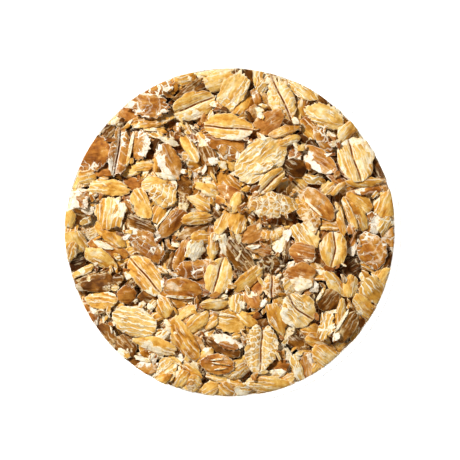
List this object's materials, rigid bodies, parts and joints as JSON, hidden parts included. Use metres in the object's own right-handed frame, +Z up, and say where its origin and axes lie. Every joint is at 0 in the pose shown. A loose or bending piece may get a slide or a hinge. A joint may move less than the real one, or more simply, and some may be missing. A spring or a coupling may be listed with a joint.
{
  "type": "bowl of five-grain cereal",
  "caption": "Small round white bowl filled to the brim with loose rolled flakes of oat, barley, wheat, rye and spelt, gently heaped in the middle.",
  "frame": {"origin": "middle of the flat underside of the foot ring, on the surface that the bowl stands on", "axes": "+Z up out of the bowl's mouth; +X to the right and +Y towards the top of the picture, which looks straight down"},
  "size_m": [0.0884, 0.0884, 0.0477],
  "materials": {
    "glazed_white": "gloss",
    "grain_flakes": "matte"
  },
  "bodies": {
    "root": {"bowl": "glazed_white", "cereal": "grain_flakes"}
  },
  "joints": []
}
